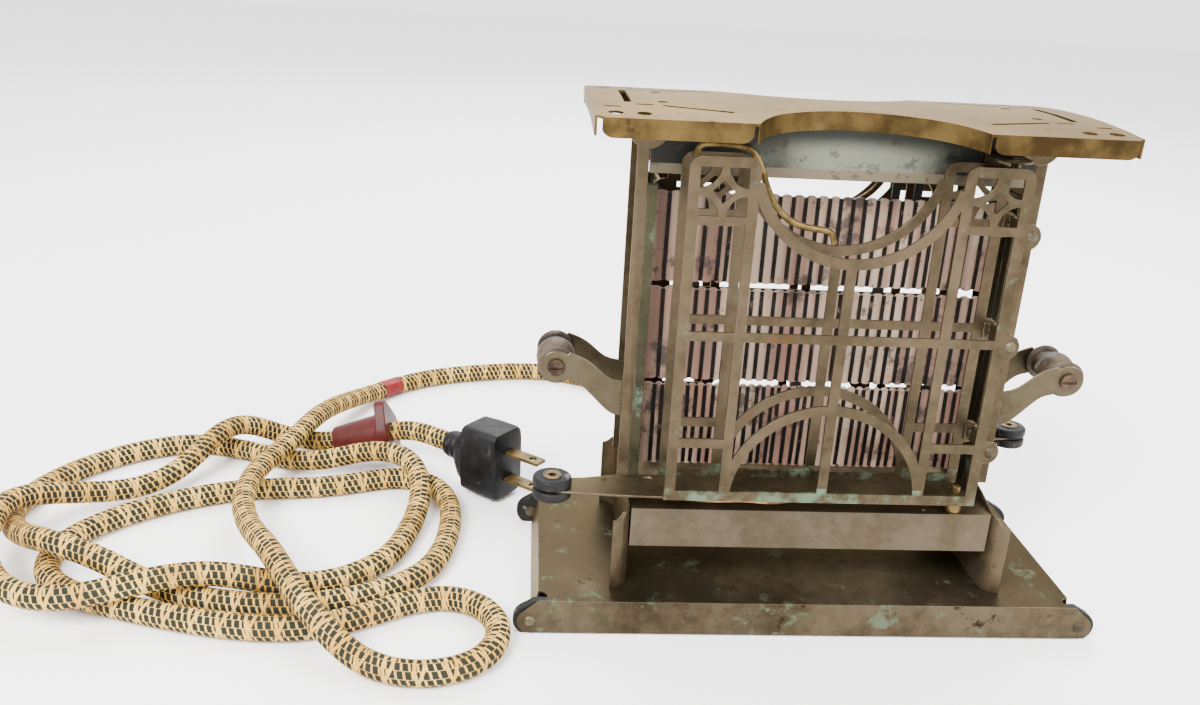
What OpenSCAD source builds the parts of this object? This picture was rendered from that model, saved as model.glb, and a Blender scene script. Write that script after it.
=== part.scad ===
// Swing-basket electric toaster: two pierced bread baskets turn out from a flat heater
// that stands between them. Millimetres, +Z up, +Y to the back, origin under the middle
// of the base.

/* [Sheet metal] */
// Thickness of the pressed sheet
sheet = 0.8; // [0.6:0.1:1.2]
// Thickness of the basket panels
panel_t = 1; // [0.8:0.1:1.2]

/* [Base] */
// Length of the base between its end folds
base_l = 198; // [190:1:206]
// Depth of the base between its front and back faces
base_w = 86; // [82:1:90]
// Height of the base's top above the surface it stands on
base_h = 13.8; // [12:0.1:15]
// How far the end flanges lean outwards
base_flare = 2.6; // [0:0.1:4]
// How far each corner ear reaches past the end fold
ear_reach = 3; // [1:0.5:4]
// Radius of a corner ear
ear_r = 4.6; // [4:0.1:5]

/* [Lower box] */
// Length of the lower box
deck_l = 133; // [126:1:134]
// Depth of the lower box
deck_w = 60.4; // [56:0.2:64]
// Height of the lower box's top
deck_z = 44.7; // [43:0.1:46]
// Height of the lower box's side walls
deck_h = 15.2; // [12:0.1:18]

/* [Side plates] */
// Distance from the middle to a side plate's inner face
side_x = 66.7; // [66.5:0.1:68]
// Width that the side plate's edge flanges turn outwards
side_flange = 3.3; // [2:0.1:4]
// Half depth of the upright part of a side plate
column_y = 12.4; // [11:0.1:13]
// Half depth of the foot of a side plate, before its curl
foot_y = 27.5; // [25:0.5:29]
// Radius of the curl on the foot
curl_r = 6.5; // [5:0.5:7]

/* [Top plate] */
// Length of the top plate
top_l = 174.4; // [168:0.2:180]
// Depth of the top plate
top_w = 84.2; // [80:0.2:88]
// Height of the top plate's middle
top_z = 186.4; // [185:0.1:190]
// How much higher the middle is than the front and back edges
top_crown = 2; // [1:0.1:3]
// Height of the turned-down rim
rim_h = 6.2; // [5:0.1:6.4]
// Half width of the finger notch in each long side
notch_half = 36.5; // [32:0.5:38]
// Depth of the finger notch
notch_in = 26.5; // [20:0.5:28]

/* [Baskets] */
// Width of a basket panel
panel_w = 112.5; // [108:0.5:114]
// Height of a basket panel
panel_h = 120; // [116:1:121]
// Height of the bottom edge of the panels
panel_z = 51.5; // [51:0.1:52.5]
// Distance from the middle to the outside face of the outer panel
outer_y = 36.2; // [34:0.2:37]
// Distance from the middle to the heater side of the inner panel
inner_y = 17; // [16.6:0.1:19]
// Distance of the basket's pivot from the middle, to the side
pivot_x = 53; // [50:0.5:54]
// Distance of the basket's pivot from the middle, to the front
pivot_y = 26.5; // [25:0.5:28]
// Radius of the pivot pins
pin_r = 1.5; // [1.2:0.1:2]
// Running clearance between a pin and its hole
pin_gap = 0.06; // [0.02:0.01:0.1]

/* [Handles] */
// Distance from the middle to a grip's axis
grip_x = 95; // [92:0.5:98]
// Height of a grip's axis
grip_z = 91; // [88:0.5:94]
// Radius of a grip's ball
grip_r = 7.2; // [6.5:0.1:7.6]
// Half distance between the outside faces of the two arms
arm_y = 11.4; // [10.5:0.1:11.6]

/* [Heater] */
// Half length of a heater card
card_x = 62.8; // [60:0.1:63]
// Thickness of a heater card
card_t = 1.2; // [0.8:0.1:1.6]
// Width of the heating ribbon
ribbon_w = 1.3; // [0.8:0.1:1.6]
// Thickness of the heating ribbon
ribbon_t = 0.3; // [0.2:0.05:0.4]

/* [Cord] */
// Diameter of the braided cord
cord_d = 9; // [8:0.5:10]

/* [Hidden] */
$fn = 48;
cord_z = cord_d / 2 + 0.1;
cross_z = cord_z + cord_d + 0.6;

// Colours
nickel = [0.55, 0.50, 0.41];
brass = [0.62, 0.50, 0.24];
black = [0.08, 0.08, 0.08];
mica = [0.72, 0.60, 0.52];
umber = [0.36, 0.30, 0.25];

// Panel pattern, measured from the middle of the panel's bottom edge
stile_w = 3.8;
tower_w = 23;
tower_h = 22.3;
window = 15.9;
bar_w = 3.5;
inner_bar_x = 35.1;
rail_z = 61.4;
low_rail_z = 22.2;
lug_heights = [21.3, 60.8, 99.3];
lug_r = 4.5;
arch_r = 33.2;
strap_x = 58.4;

// Lever and knob at the free end of a basket
knob_x = 95.4;
knob_y = 27.5;
knob_r = 7;
knob_t = 3.6;
eyelet_r = 2;
tray_z = panel_z;

// Heater card heights: bottom edge, top edge, number of ribbon turns
card_top = [121.4, 154.5, 27];
card_middle = [83.5, 119.3, 29];
card_bottom = [48.8, 81.9, 37];

// Height of the top plate's upper face: a shallow crown pressed in flat steps
crown_y = top_w / 2;
function crown_z(y) = top_z - top_crown * y * y / (crown_y * crown_y);
crown_steps = [for (k = [-3:3]) k * crown_y / 3];
notch_r = (notch_half * notch_half + notch_in * notch_in) / (2 * notch_in);
notch_y = crown_y - notch_in + notch_r;

// A smooth curve near the points p: a cubic B-spline that starts and ends on them
function spline_at(p, s) = let(
    n = len(p),
    i = min(floor(s), n - 2),
    t = s - i,
    a = i == 0 ? 2 * p[0] - p[1] : p[i - 1],
    d = i == n - 2 ? 2 * p[n - 1] - p[n - 2] : p[i + 2])
    (pow(1 - t, 3) * a + (3 * t * t * t - 6 * t * t + 4) * p[i]
    + (-3 * t * t * t + 3 * t * t + 3 * t + 1) * p[i + 1] + t * t * t * d) / 6;
function spline(p, rings) = [for (k = [0:rings - 1]) spline_at(p, k * (len(p) - 1) / (rings - 1))];

function unit(v) = v / norm(v);
function heading(p, i) = unit(p[min(i + 1, len(p) - 1)] - p[max(i - 1, 0)]);

// A round tube of radius r through the points p; aside is never along the tube
module tube(p, r, sides, aside) {
    n = len(p);
    rings = [for (i = [0:n - 1]) let(
        t = heading(p, i),
        u = unit(cross(t, aside)),
        v = cross(u, t))
        for (k = [0:sides - 1]) p[i] + r * (cos(360 * (k + 0.5) / sides) * u + sin(360 * (k + 0.5) / sides) * v)];
    walls = [for (i = [0:n - 2]) for (k = [0:sides - 1])
        [i * sides + k, i * sides + (k + 1) % sides, (i + 1) * sides + (k + 1) % sides, (i + 1) * sides + k]];
    first = [for (k = [sides - 1:-1:0]) k];
    last = [for (k = [0:sides - 1]) (n - 1) * sides + k];
    polyhedron(rings, concat([first], walls, [last]));
}

// A box given by its lowest and highest corners
module span(low, high) translate(low) cube(high - low);

// The shape on both sides of the plane X = 0, or of the plane Y = 0
module both_x() { children(); mirror([1, 0, 0]) children(); }
module both_y() { children(); mirror([0, 1, 0]) children(); }

// The second basket is the first one turned half round
module rear() rotate([0, 0, 180]) children();

// A flat piece drawn in X and Z, t thick, whose front face lies at y
module upright(y, t) translate([0, y + t, 0]) rotate([90, 0, 0]) linear_extrude(t) children();

// Base -----------------------------------------------------------------------------------

ear_x = base_l / 2 + ear_reach;
foot_lift = 0.5;

// Where a line from the point p touches the circle of radius r round c, on its right side
function touch(p, c, r) = let(a = atan2(p[1] - c[1], p[0] - c[0]) - acos(r / norm(p - c)))
    c + r * [cos(a), sin(a)];

// A corner ear: the flange slants out past the fold and ends in a round lobe
module ear_outline(grow = 0) {
    c = [ear_x, foot_lift + ear_r];
    fold = [base_l / 2, base_h];
    translate(c) circle(ear_r + grow);
    polygon([[base_l / 2 - 12, c[1] - ear_r - grow], [c[0], c[1] - ear_r - grow], c,
        touch(fold, c, ear_r + grow), fold, [base_l / 2 - 12, base_h]]);
}

module long_flange() {
    upright(-base_w / 2, sheet) difference() {
        union() {
            translate([-base_l / 2 + 5, foot_lift]) square([base_l - 10, base_h - foot_lift]);
            both_x() ear_outline();
        }
        both_x() translate([ear_x, foot_lift + ear_r]) circle(1.5);
    }
}

module end_flange() {
    rotate([90, 0, 0]) translate([0, 0, -base_w / 2 + 7]) linear_extrude(base_w - 14)
        polygon([[base_l / 2 - sheet, base_h], [base_l / 2, base_h],
            [base_l / 2 + base_flare, foot_lift], [base_l / 2 + base_flare - sheet, foot_lift]]);
}

module base_tray() color(nickel) {
    difference() {
        span([-base_l / 2, -base_w / 2, base_h - sheet], [base_l / 2, base_w / 2, base_h]);
        both_x() both_y() translate([base_l / 2, base_w / 2 - 3.5, 0]) cylinder(h = 3 * base_h, r = 3.2, center = true);
    }
    both_y() long_flange();
    both_x() end_flange();
}

module base_feet() color(black) both_x() both_y()
    upright(-base_w / 2 + sheet, 3.4) difference() {
        intersection() {
            ear_outline(1.4);
            translate([base_l / 2 - 8, 0]) square([30, base_h - sheet]);
        }
        translate([ear_x, foot_lift + ear_r]) circle(1.5);
    }

module foot_eyelets() color(brass) both_x() both_y()
    translate([ear_x, -base_w / 2, foot_lift + ear_r]) rotate([-90, 0, 0]) {
        translate([0, 0, -0.7]) cylinder(h = 0.7, r1 = 1.5, r2 = 2.3);
        cylinder(h = 4.2, r = 1.5);
        translate([0, 0, 4.2]) cylinder(h = 0.7, r = 2.3);
    }

// Lower box ------------------------------------------------------------------------------

// Slots in the lower box's top beside the pivots
slot_x = pivot_x - 8.5;

module deck_cover() color(nickel) difference() {
    span([-deck_l / 2, -deck_w / 2, deck_z - deck_h], [deck_l / 2, deck_w / 2, deck_z]);
    span([-deck_l / 2 + sheet, -deck_w / 2 + sheet, deck_z - deck_h - 1],
        [deck_l / 2 - sheet, deck_w / 2 - sheet, deck_z - sheet]);
    for (turn = [0, 180]) rotate(turn) {
        translate([pivot_x, -pivot_y, 0]) cylinder(h = 60, r = 2);
        span([slot_x - 3, -pivot_y - 1.5, deck_z - 2], [slot_x + 3, -pivot_y + 1.5, deck_z + 1]);
    }
    for (x = [-40, 0, 40]) span([x - 9, -2.5, deck_z - 2], [x + 9, 2.5, deck_z + 1]);
    translate([cord_exit[0], 20, cord_exit[2]]) rotate([-90, 0, 0]) cylinder(h = 20, r = 5);
}

module terminal_block() color([0.85, 0.82, 0.74]) difference() {
    span([-34, -9, deck_z - sheet - 10], [34, 9, deck_z - sheet]);
    for (x = [-24, 0, 24]) translate([x, 0, deck_z - sheet - 11]) cylinder(h = 7, r = 1.5);
    span([-30, -2.5, deck_z - sheet - 2], [30, 2.5, deck_z]);
}

module terminal_screws() color(brass) for (x = [-24, 0, 24])
    translate([x, 0, deck_z - sheet - 10]) {
        cylinder(h = 5.5, r = 1.5);
        difference() {
            translate([0, 0, -2]) cylinder(h = 2, r = 3.2);
            translate([-4, -0.4, -2.1]) cube([8, 0.8, 1]);
        }
    }

// A springy wire on the lower box, under each basket, that the tray rides over
module detent_springs() color([0.62, 0.40, 0.25]) for (turn = [0, 180]) rotate(turn)
    tube(spline([[-54, -20, deck_z + 0.8], [-46, -24, deck_z + 0.8], [-36, -27, deck_z + 1.8],
        [-26, -28, deck_z + 3.4], [-16, -27, deck_z + 1.4], [-8, -24, deck_z + 0.8]], 16), 0.8, 8, [0, 0, 1]);

// Side plates ----------------------------------------------------------------------------

column_foot_z = 49;
shoulder_z = 45.6;
column_top = crown_z(crown_y / 3) - sheet;

module side_web_outline() {
    translate([-column_y, base_h]) square([2 * column_y, column_top - base_h]);
    polygon([[-column_y, column_foot_z], [-18, column_foot_z - 1], [-foot_y, shoulder_z], [-foot_y, base_h],
        [foot_y, base_h], [foot_y, shoulder_z], [18, column_foot_z - 1], [column_y, column_foot_z]]);
}

module side_plate() color(nickel) {
    translate([side_x, 0, 0]) rotate([90, 0, 90]) linear_extrude(sheet) side_web_outline();
    both_y() span([side_x, -column_y, column_foot_z],
        [side_x + sheet + side_flange, -column_y + sheet, column_top]);
    // the foot's edge curls outwards
    both_y() translate([side_x + sheet + curl_r - sheet, -foot_y, base_h]) intersection() {
        difference() {
            cylinder(h = shoulder_z - base_h, r = curl_r);
            translate([0, 0, -1]) cylinder(h = 60, r = curl_r - sheet);
        }
        rotate([90, 0, -90]) linear_extrude(2 * curl_r) polygon([[0, 0], [curl_r, 0],
            [curl_r, shoulder_z - base_h - 6], [curl_r - 2, shoulder_z - base_h - 1.5],
            [0, shoulder_z - base_h]]);
    }
}

module side_plate_right() side_plate();
module side_plate_left() mirror([1, 0, 0]) side_plate();

// Heater ---------------------------------------------------------------------------------

frame_low = deck_z;
frame_top = 158.4;
frame_web = 0.6;

module element_frame() color([0.48, 0.50, 0.40]) {
    x = side_x - frame_web;
    span([x, -column_y, frame_low], [side_x, column_y, frame_top]);
    both_y() span([x - 3, -column_y, frame_low], [x, -column_y + frame_web, frame_top]);
    both_y() span([x - 4.4, -card_t / 2 - 0.7, frame_low], [x, -card_t / 2 - 0.1, frame_top - 2]);
}

module element_frame_right() element_frame();
module element_frame_left() mirror([1, 0, 0]) element_frame();

card_edge = 3.6;
function turn_x(card, i) = -card_x + card_edge + (i + 0.5) * 2 * (card_x - card_edge) / card[2];
notch_depth = 1.2;

// A flat insulating card whose long edges are notched where the ribbon wraps over them
module card_shape(card) color(mica) upright(-card_t / 2, card_t) difference() {
    translate([-card_x, card[0]]) square([2 * card_x, card[1] - card[0]]);
    for (i = [0:card[2] - 1], z = [card[0], card[1]])
        translate([turn_x(card, i) - ribbon_w / 2 - 0.2, z - notch_depth]) square([ribbon_w + 0.4, 2 * notch_depth]);
}

module ribbon_shape(card) color(black) for (i = [0:card[2] - 1]) translate([turn_x(card, i), 0, 0]) {
    z0 = card[0] + notch_depth - ribbon_t;
    z1 = card[1] - notch_depth + ribbon_t;
    y = card_t / 2 + ribbon_t;
    for (side = [-1, 1]) span([-ribbon_w / 2, min(side * y, side * card_t / 2), z0],
        [ribbon_w / 2, max(side * y, side * card_t / 2), z1]);
    for (z = [z0, z1 - ribbon_t]) span([-ribbon_w / 2, -y, z], [ribbon_w / 2, y, z + ribbon_t]);
}

module mica_card_top() card_shape(card_top);
module mica_card_middle() card_shape(card_middle);
module mica_card_bottom() card_shape(card_bottom);
module ribbon_top() ribbon_shape(card_top);
module ribbon_middle() ribbon_shape(card_middle);
module ribbon_bottom() ribbon_shape(card_bottom);

// Straps that carry the heater's ends: up to the bridge, and across the gaps between cards
module card_hangers() color(black) {
    for (x = [22, 30, 38]) span([x, -0.4, card_top[1]], [x + 3, 0.4, bridge_low + 1]);
    for (x = [-48, 20]) span([x, -0.4, card_middle[1]], [x + 4, 0.4, card_top[0]]);
    for (x = [-6, 44]) span([x, -0.4, card_bottom[1]], [x + 4, 0.4, card_middle[0]]);
}

// Top ------------------------------------------------------------------------------------

bridge_low = 162.5;
bridge_x = side_x - 0.2;

module top_bridge() color([0.60, 0.60, 0.56]) difference() {
    span([-bridge_x, -column_y, bridge_low], [bridge_x, column_y, column_top]);
    span([-bridge_x - 1, -column_y + sheet, bridge_low - 1], [bridge_x + 1, column_y - sheet, column_top - sheet]);
}

// Round lugs that tie the columns to the top plate
clip_z = 177.6;
clip_r = 7;

module top_clips() color(nickel) both_x() both_y() {
    upright(-column_y - sheet, sheet) intersection() {
        translate([side_x + 0.6, clip_z]) circle(clip_r);
        translate([side_x - 10, clip_z - 10]) square([20, column_top - clip_z + 9.6]);
    }
    translate([side_x + 2, -column_y - sheet - 0.9, clip_z - 1]) rotate([-90, 0, 0]) cylinder(h = 0.9, r1 = 1.2, r2 = 1.9);
}

// A band of the crowned sheet between two depths below its top face
module crown_band(depth0, depth1) rotate([90, 0, 90]) translate([0, 0, -top_l / 2]) linear_extrude(top_l)
    polygon(concat([for (y = crown_steps) [y, crown_z(y) - depth0]],
        [for (y = crown_steps) [-y, crown_z(y) - depth1]]));

// The plate from above, drawn in by inset all round
module plan_outline(inset) difference() {
    square([top_l - 2 * inset, top_w - 2 * inset], center = true);
    both_y() translate([0, -notch_y]) circle(notch_r + inset, $fn = 96);
}

// A round-ended slot from a to b, w wide
module slot_outline(a, b, w) {
    for (p = [a, b]) translate(p) circle(0.48 * w);
    translate(a) rotate(atan2(b[1] - a[1], b[0] - a[0])) translate([0, -w / 2]) square([norm(b - a), w]);
}

// Piercings in one quarter of the top plate
module piercings() translate([0, 0, top_z - 10]) linear_extrude(20) {
    slot_outline([43, 27], [63.5, 20.5], 2.2);
    slot_outline([68, 19.5], [72.5, 19.5], 1.8);
    slot_outline([79, 25], [83, 25], 1.8);
    for (x = [71.5, 80.5]) translate([x, 34.5]) circle(2.4);
    translate([63.5, 13]) circle(1.8);
}

// What is cut from the rim where the plate's corners and the notches part it
module rim_cuts() {
    corner = 2.4;
    round_r = 4;
    low_z = crown_z(crown_y) - rim_h;
    both_x() both_y() translate([top_l / 2, -crown_y, top_z - 20]) cylinder(h = 40, r = corner);
    both_x() both_y() span([notch_half + 0.3, -crown_y - 1, low_z - 5],
        [notch_half + 1.6, -crown_y + 2, low_z + rim_h - sheet]);
    both_x() both_y() upright(-crown_y - 1, 3) for (side = [-1, 1]) {
        x = side < 0 ? notch_half + 1.2 : top_l / 2 - corner + 0.6;
        translate([x, low_z]) difference() {
            translate([-side * round_r / 2, round_r / 2 - 1]) square([round_r, round_r + 2], center = true);
            translate([-side * round_r, round_r]) circle(round_r);
        }
    }
}

module top_plate() color(brass) difference() {
    intersection() {
        crown_band(0, rim_h);
        translate([0, 0, top_z - 20]) linear_extrude(30) plan_outline(0);
    }
    intersection() {
        crown_band(sheet, rim_h + 1);
        translate([0, 0, top_z - 20]) linear_extrude(30) plan_outline(sheet);
    }
    rim_cuts();
    both_x() both_y() piercings();
    both_x() span([74, -16, top_z - 4], [76.6, 16, top_z + 4]);
}

// Pivots ---------------------------------------------------------------------------------

pin_top = tray_z + 3;

// A shouldered post on the lower box under each basket's hinge end
module lower_pivots() color(brass) for (turn = [0, 180]) rotate(turn) translate([pivot_x, -pivot_y, 0]) {
    translate([0, 0, deck_z - sheet - 1]) cylinder(h = 1, r = 2.8);
    translate([0, 0, deck_z - sheet]) cylinder(h = sheet, r = 2);
    translate([0, 0, deck_z]) cylinder(h = tray_z - 0.3 - deck_z, r = 3);
    translate([0, 0, tray_z - 0.3]) cylinder(h = pin_top - tray_z + 0.3, r = pin_r);
}

arm_z = panel_z + panel_h + 2.2;
hinge_plate_z = panel_z + panel_h - 1.6;

// An arm from the bridge over each basket, with the upper pin riveted in it
module upper_pivots() color(nickel) for (turn = [0, 180]) rotate(turn) {
    span([pivot_x - 5, -column_y - 0.8, arm_z - 7], [pivot_x + 5, -column_y, arm_z + 0.8]);
    span([pivot_x - 5, -pivot_y, arm_z], [pivot_x + 5, -column_y - 0.8, arm_z + 0.8]);
    translate([pivot_x, -pivot_y, 0]) {
        translate([0, 0, arm_z]) cylinder(h = 0.8, r = 5);
        translate([0, 0, hinge_plate_z - 1]) cylinder(h = arm_z - hinge_plate_z + 1, r = pin_r);
        translate([0, 0, arm_z + 0.8]) cylinder(h = 0.8, r1 = 2.6, r2 = 1.8);
    }
}

// Handles --------------------------------------------------------------------------------

// Edge of a handle arm, from the foot's lower corner round the outer end
arm_edge = [[0, 0], [4, 0.2], [7, 1.4], [10, 4.2], [15, 9.6], [18, 12.4], [22, 13.2]];
arm_back = [[22, 24.2], [17.5, 22.6], [13.5, 20.2], [9.5, 16.2], [6, 14.2], [0, 13.6]];

module arm_outline() translate([side_x + 2 * sheet, 72.4]) {
    end = [grip_x - side_x - 2 * sheet, grip_z - 72.4];
    difference() {
        union() {
            polygon(concat(spline(arm_edge, 18), [end], spline(arm_back, 16)));
            translate(end) circle(6);
        }
        translate(end) circle(2.05);
    }
}

module handle_bracket() color(nickel) {
    both_y() upright(-arm_y, sheet) arm_outline();
    span([side_x + sheet, -arm_y, 72.4], [side_x + 2 * sheet, arm_y, 86]);
}

module handle_bracket_right() handle_bracket();
module handle_bracket_left() mirror([1, 0, 0]) handle_bracket();

grip_half = arm_y - sheet - 0.3;

// A turned spool: a flange at each end and a ball in the middle
module grip() color(umber) translate([grip_x, 0, grip_z]) rotate([90, 0, 0])
    rotate_extrude($fn = 64) difference() {
    union() {
        translate([0, -grip_half]) square([5.2, 2 * grip_half]);
        for (s = [-1, 1]) {
            translate([0, s * (grip_half - 1.1) - 1.1]) square([5.9, 2.2]);
            translate([5.8, s * (grip_half - 1.1)]) circle(1.1);
        }
        intersection() {
            circle(grip_r);
            translate([0, -grip_r]) square([grip_r, 2 * grip_r]);
        }
    }
    translate([-1, -20]) square([1 + 2 + pin_gap, 40]);
}

module grip_right() grip();
module grip_left() mirror([1, 0, 0]) grip();

module handle_screw() color([0.35, 0.28, 0.22]) translate([grip_x, 0, grip_z]) rotate([90, 0, 0]) {
    translate([0, 0, -arm_y - 2.4]) cylinder(h = 2 * arm_y + 2.4, r = 2);
    translate([0, 0, -arm_y - 2.2]) cylinder(h = 2.2, r = 3.6, $fn = 6);
    difference() {
        translate([0, 0, arm_y]) intersection() {
            cylinder(h = 1.8, r = 3.1);
            translate([0, 0, -6]) sphere(7.8);
        }
        translate([-4.5, -0.5, arm_y + 0.9]) cube([9, 1, 2]);
    }
}

module handle_screw_right() handle_screw();
module handle_screw_left() mirror([1, 0, 0]) handle_screw();

// Baskets, drawn as the front one ----------------------------------------------------------

module tower(h) translate([-panel_w / 2, h - tower_h]) difference() {
    union() {
        square([tower_w, tower_h - 4]);
        translate([4, 0]) square([tower_w - 8, tower_h]);
        for (x = [4, tower_w - 4]) translate([x, tower_h - 4]) circle(4);
    }
    translate([tower_w / 2, tower_h / 2 - 0.2]) {
        intersection() {
            square(window, center = true);
            for (a = [0:90:270]) rotate(a) translate([window / 2, window / 2]) circle(6.7);
        }
        rotate(45) square(5.4, center = true);
    }
}

// The pierced pattern: two towers, a hanging arch, bars, rails and a standing arch
module panel_outline(h) {
    both_x() {
        tower(h);
        translate([-panel_w / 2, 0]) square([stile_w, h - tower_h]);
        translate([-inner_bar_x - bar_w / 2, 0]) square([bar_w, h - tower_h]);
        translate([-panel_w / 2, low_rail_z - 1.7]) square([panel_w / 2 - inner_bar_x, 3.4]);
    }
    translate([-panel_w / 2, 0]) square([panel_w, 3.7]);
    translate([-panel_w / 2, rail_z - 1.6]) square([panel_w, 3.2]);
    translate([-bar_w / 2, 0]) square([bar_w, panel_h + 2.8 - arch_r - 1.5]);
    intersection() {
        translate([0, panel_h + 2.8]) ring_outline(arch_r);
        translate([-40, 70]) square([80, panel_h - 76.4]);
    }
    intersection() {
        translate([0, 0.5]) ring_outline(arch_r);
        translate([-40, 0]) square([80, 50]);
    }
    for (z = lug_heights) translate([panel_w / 2 + 0.7, z]) circle(lug_r);
}

module ring_outline(r) difference() {
    circle(r + 3.6, $fn = 96);
    circle(r, $fn = 96);
}

module panel(y, h) color(nickel) upright(y, panel_t) difference() {
    translate([0, panel_z]) panel_outline(h);
    for (z = lug_heights) translate([strap_x, panel_z + z]) circle(1.1);
}

// The outer panel stands a little taller than the inner one
module front_outer_panel() panel(-outer_y, panel_h + 1.6);
module front_inner_panel() panel(-inner_y - panel_t, panel_h);
module rear_outer_panel() rear() front_outer_panel();
module rear_inner_panel() rear() front_inner_panel();

// Sheet floor of the basket, drawn out at the free end into the lever that carries the knob
module tray_shape() color(nickel) translate([0, 0, tray_z]) linear_extrude(sheet) difference() {
    union() {
        polygon([[56, -outer_y + panel_t], [56, -inner_y - panel_t - 3], [53, -inner_y - panel_t],
            [-panel_w / 2, -inner_y - panel_t], [-72, -inner_y - panel_t - 0.6], [-84, -21.4],
            [-knob_x, -knob_y + 5.2], [-knob_x, -knob_y - 5.2], [-84, -33.4], [-72, -34.6],
            [-panel_w / 2, -outer_y + panel_t]]);
        translate([-knob_x, -knob_y]) circle(5.2);
    }
    translate([-knob_x, -knob_y]) circle(eyelet_r);
    translate([-60.4, -22]) circle(2);
    translate([pivot_x, -pivot_y]) circle(pin_r + pin_gap);
}

module front_tray() tray_shape();
module rear_tray() rear() tray_shape();

// Three flat straps hold the two panels apart at the hinge end
module straps() color(nickel) for (z = lug_heights) translate([0, 0, panel_z + z]) {
    span([strap_x - 0.5, -outer_y + panel_t, -3], [strap_x + 0.5, -inner_y - panel_t, 3]);
    both = [-outer_y + panel_t, -inner_y - panel_t - 0.8];
    for (y = both) difference() {
        span([strap_x - 2.6, y, -3], [strap_x + 2.6, y + 0.8, 3]);
        translate([strap_x, y - 1, 0]) rotate([-90, 0, 0]) cylinder(h = 3, r = 1.1);
    }
}

module front_straps() difference() {
    straps();
    for (z = lug_heights, y = [-outer_y + panel_t, -inner_y - panel_t - 1.4])
        span([strap_x - 1.15, y, panel_z + z - 1.15], [strap_x + 1.15, y + 1.4, panel_z + z + 1.15]);
}
module rear_straps() rear() front_straps();

module strap_rivet() {
    translate([0, 0, -0.8]) cylinder(h = 0.8, r1 = 1.3, r2 = 2.1);
    cylinder(h = panel_t + 0.8, r = 1.1);
    translate([0, 0, panel_t + 0.8]) cylinder(h = 0.5, r = 0.9);
}

module front_strap_rivets() color(brass) for (z = lug_heights) {
    translate([strap_x, -outer_y, panel_z + z]) rotate([-90, 0, 0]) strap_rivet();
    translate([strap_x, -inner_y, panel_z + z]) rotate([90, 0, 0]) strap_rivet();
}
module rear_strap_rivets() rear() front_strap_rivets();

// Plate between the panels' tops that takes the upper pin
module hinge_plate() color(nickel) {
    y0 = -outer_y + panel_t;
    y1 = -inner_y - panel_t;
    difference() {
        span([pivot_x - 7, y0, hinge_plate_z], [panel_w / 2, y1, hinge_plate_z + sheet]);
        translate([pivot_x, -pivot_y, hinge_plate_z - 1]) cylinder(h = 3, r = pin_r + pin_gap);
    }
}

module front_hinge_plate() hinge_plate();
module rear_hinge_plate() rear() hinge_plate();

wire_r = 1.15;
wire_top = panel_z + panel_h + wire_r + 1.6;

// Bent wire from the tower, over the slice's top, down to the middle of the hanging arch
module bread_wire() color(brass) tube(spline([[-52, -19.2, wire_top - 4], [-51.5, -19.6, wire_top],
    [-47, -21.6, wire_top + 0.6], [-41, -23.4, wire_top + 0.8], [-35, -24, wire_top + 0.3],
    [-31.2, -24, 169.4], [-28.6, -23.6, 161.5], [-24.4, -22.8, 154.4], [-18.8, -21.8, 149.6],
    [-12.6, -20.8, 147.6], [-7, -20, 147], [-3, -19.3, 146], [-2, -19.2, 142.2]], 42), wire_r, 10, [0, 1, 0.3]);

module front_bread_wire() bread_wire();
module rear_bread_wire() rear() bread_wire();

module disc_profile() {
    square([knob_r - 1, knob_t]);
    translate([0, 1]) square([knob_r, knob_t - 2]);
    for (z = [1, knob_t - 1]) translate([knob_r - 1, z]) circle(1);
}

module knob_shape() color(black) translate([-knob_x, -knob_y, 0])
    for (z = [tray_z - knob_t, tray_z + sheet]) translate([0, 0, z]) rotate_extrude($fn = 64) difference() {
        disc_profile();
        translate([-1, -1]) square([1 + eyelet_r, knob_t + 2]);
    }

module front_knob() knob_shape();
module rear_knob() rear() knob_shape();

module eyelet_shape() color(brass) translate([-knob_x, -knob_y, tray_z - knob_t]) {
    h = 2 * knob_t + sheet;
    rotate_extrude() {
        translate([eyelet_r - 0.6, -0.4]) square([0.6, h + 0.8]);
        for (z = [-0.4, h]) translate([eyelet_r - 0.6, z]) square([2, 0.4]);
    }
}

module front_knob_eyelet() eyelet_shape();
module rear_knob_eyelet() rear() eyelet_shape();

// Cord -----------------------------------------------------------------------------------

cord_exit = [-20, 55, 37];
low = cord_z;
high = cross_z;

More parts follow.
